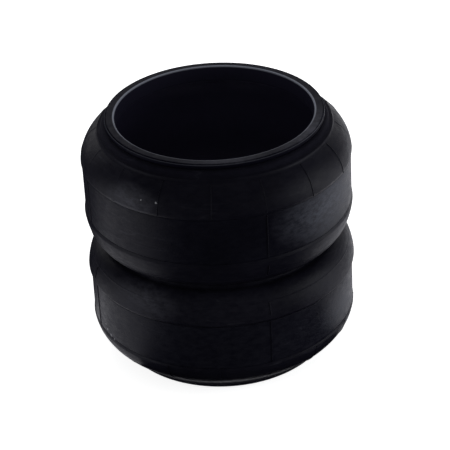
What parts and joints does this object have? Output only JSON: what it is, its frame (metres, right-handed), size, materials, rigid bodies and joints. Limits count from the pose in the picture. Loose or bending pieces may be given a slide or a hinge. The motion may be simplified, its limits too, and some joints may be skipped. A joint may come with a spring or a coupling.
{
  "type": "air_bellows_actuator",
  "caption": "Bare rubber air bellows actuator with two convolutions, beaded ends and a girdle hoop; 265 mm free height, 281 mm across.",
  "frame": {"origin": "centre of the lower bead's face, on the bellows' axis", "axes": "+Z along the bellows' axis, from the lower bead to the upper bead"},
  "size_m": [0.2806, 0.2806, 0.265],
  "materials": {
    "cover_rubber": "satin",
    "liner_rubber": "matte",
    "filler_rubber": "matte",
    "cord_ply": "matte",
    "bead_steel": "satin"
  },
  "bodies": {
    "lower_bead": {"lower_bead_wrap": "cover_rubber", "lower_bead_core": "bead_steel", "lower_bead_filler": "filler_rubber", "lower_shoulder_cover": "cover_rubber", "outer_ply": "cord_ply", "inner_ply": "cord_ply", "inner_liner": "liner_rubber"},
    "lower_belt": {"lower_belt_cover": "cover_rubber", "lower_flank_cover": "cover_rubber"},
    "girdle": {"waist_cover": "cover_rubber", "girdle_hoop": "bead_steel"},
    "upper_belt": {"upper_belt_cover": "cover_rubber", "upper_flank_cover": "cover_rubber", "upper_shoulder_cover": "cover_rubber"},
    "upper_bead": {"upper_bead_wrap": "cover_rubber", "upper_bead_core": "bead_steel", "upper_bead_filler": "filler_rubber"}
  },
  "joints": [
    {"name": "lower_shoulder_stroke", "type": "slide", "parent": "lower_bead", "child": "lower_belt", "axis": [0, 0, 1], "range_m": [-0.02, 0.012], "stiffness_N_per_m": 30000, "springref_m": 0.001, "deforming": ["lower_shoulder_cover", "outer_ply", "inner_ply", "inner_liner"]},
    {"name": "lower_fold_stroke", "type": "slide", "parent": "lower_belt", "child": "girdle", "axis": [0, 0, 1], "range_m": [-0.02, 0.012], "stiffness_N_per_m": 30000, "springref_m": 0.0008, "deforming": ["lower_flank_cover"]},
    {"name": "upper_fold_stroke", "type": "slide", "parent": "girdle", "child": "upper_belt", "axis": [0, 0, 1], "range_m": [-0.02, 0.012], "stiffness_N_per_m": 30000, "springref_m": 0.0006, "deforming": ["upper_flank_cover"]},
    {"name": "upper_bead_tilt", "type": "hinge", "parent": "upper_belt", "child": "upper_bead", "pos_m": [0, 0, 0.235], "axis": [1, 0, 0], "range_deg": [-8, 8], "stiffness_Nm_per_rad": 60, "deforming": ["upper_shoulder_cover"]}
  ],
  "couplings": [
    {"joint": "lower_fold_stroke", "follows": "lower_shoulder_stroke", "ratio": 1},
    {"joint": "upper_fold_stroke", "follows": "lower_shoulder_stroke", "ratio": 1}
  ]
}
